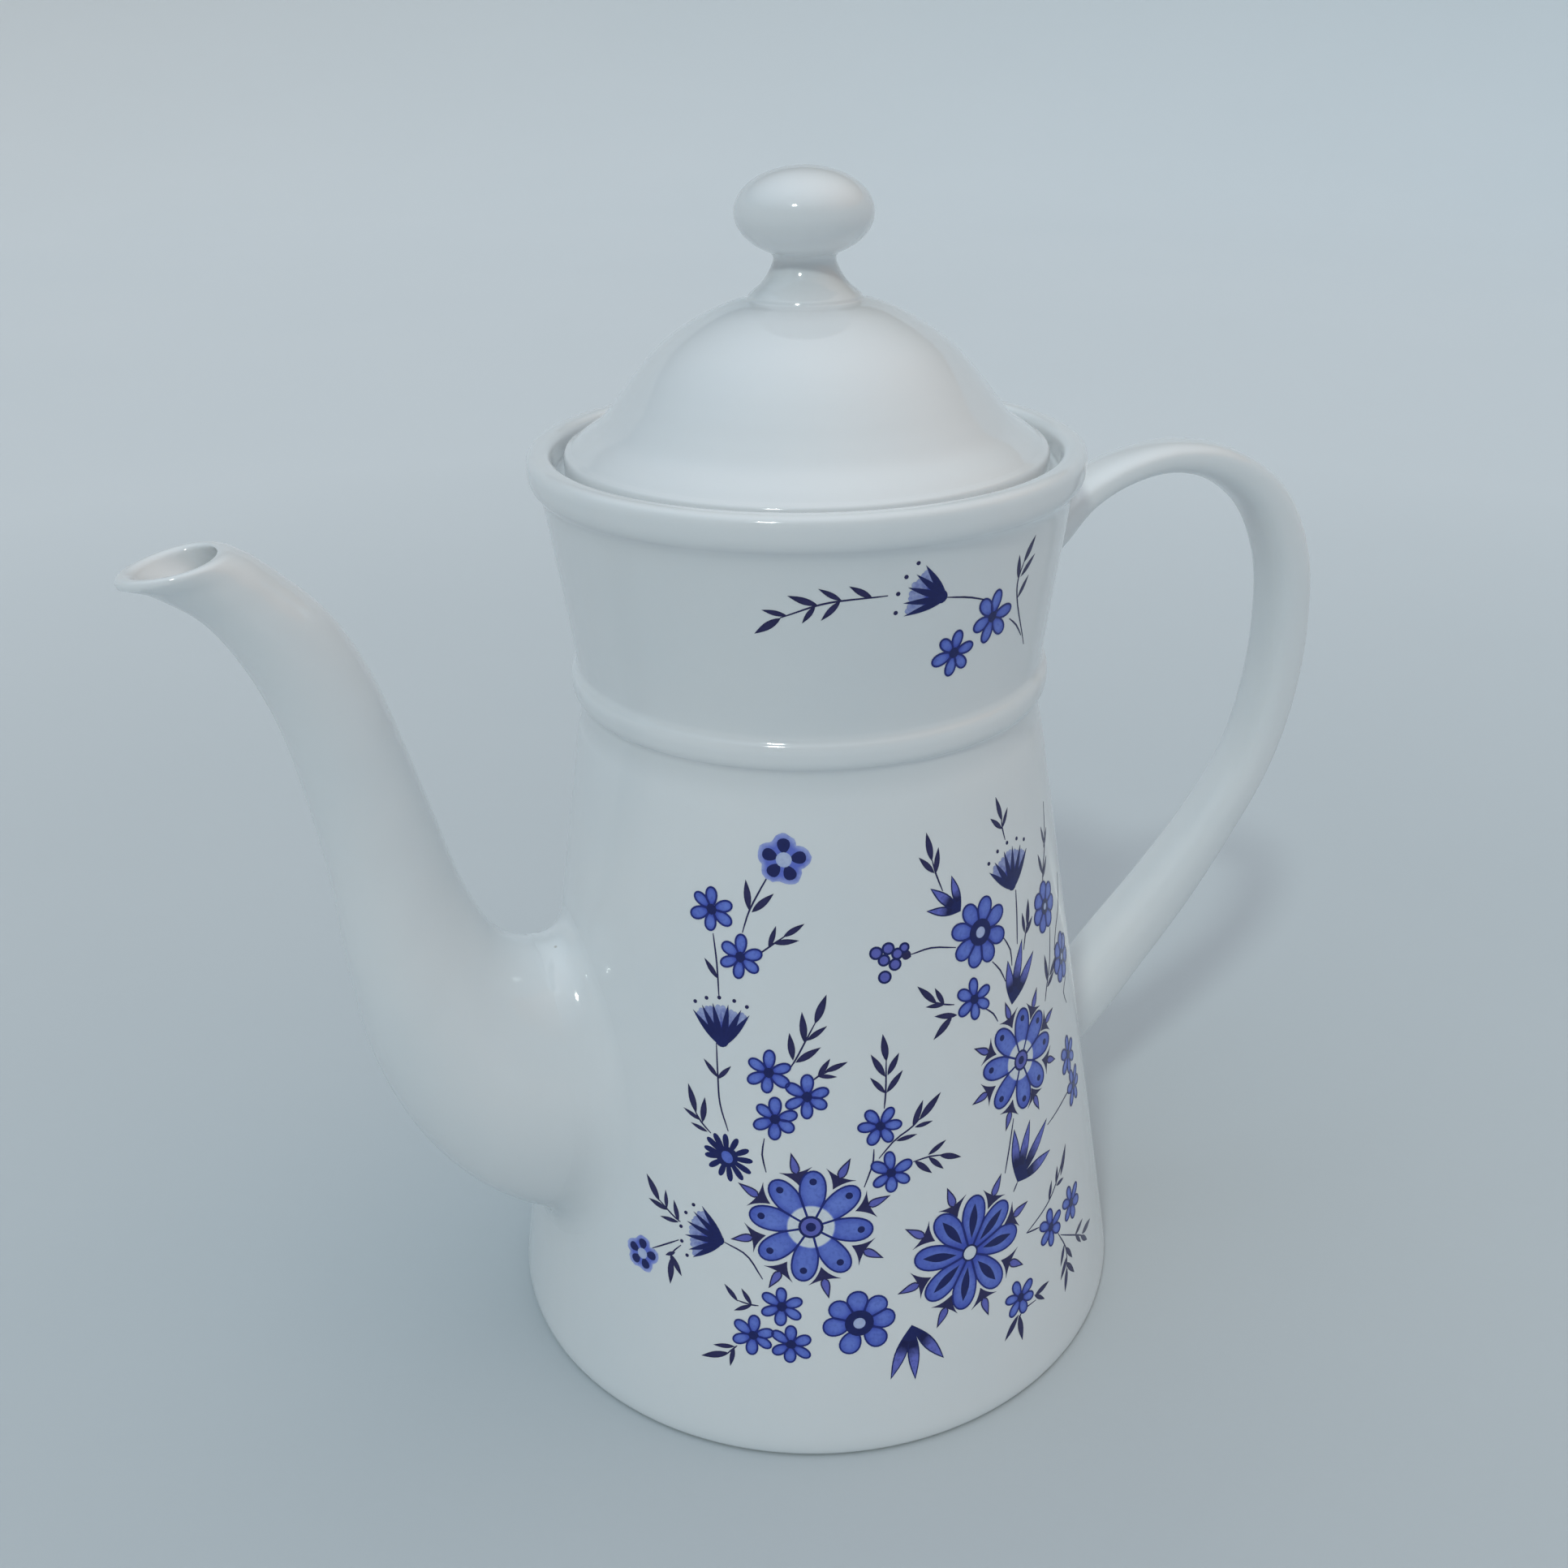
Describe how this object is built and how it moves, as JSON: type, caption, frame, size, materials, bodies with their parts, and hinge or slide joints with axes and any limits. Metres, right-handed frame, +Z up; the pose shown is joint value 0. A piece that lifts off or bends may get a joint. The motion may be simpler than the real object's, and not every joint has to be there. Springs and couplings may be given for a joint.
{
  "type": "coffee pot",
  "caption": "Tall conical porcelain coffee pot with a swan-neck spout, strap handle and domed lift-off lid, decorated with blue flowers.",
  "frame": {"origin": "centre of the foot on the pot's own axis, on the surface that the pot stands on", "axes": "+X towards the spout, -X towards the handle, +Z up along the pot's axis, Y across the pot"},
  "size_m": [0.2202, 0.1228, 0.2144],
  "materials": {
    "pot_glaze": "clear gloss glaze over white porcelain, with cobalt-blue printed flowers under the glaze",
    "lid_glaze": "clear gloss glaze over plain white porcelain"
  },
  "bodies": {
    "pot": {"pot_body": "pot_glaze", "spout": "pot_glaze", "handle": "pot_glaze"},
    "lid": {"lid": "lid_glaze", "lid_knob": "lid_glaze"}
  },
  "joints": [
    {"name": "lid_lift", "type": "slide", "parent": "pot", "child": "lid", "axis": [0, 0, 1], "range_m": [0, 0.06]}
  ]
}
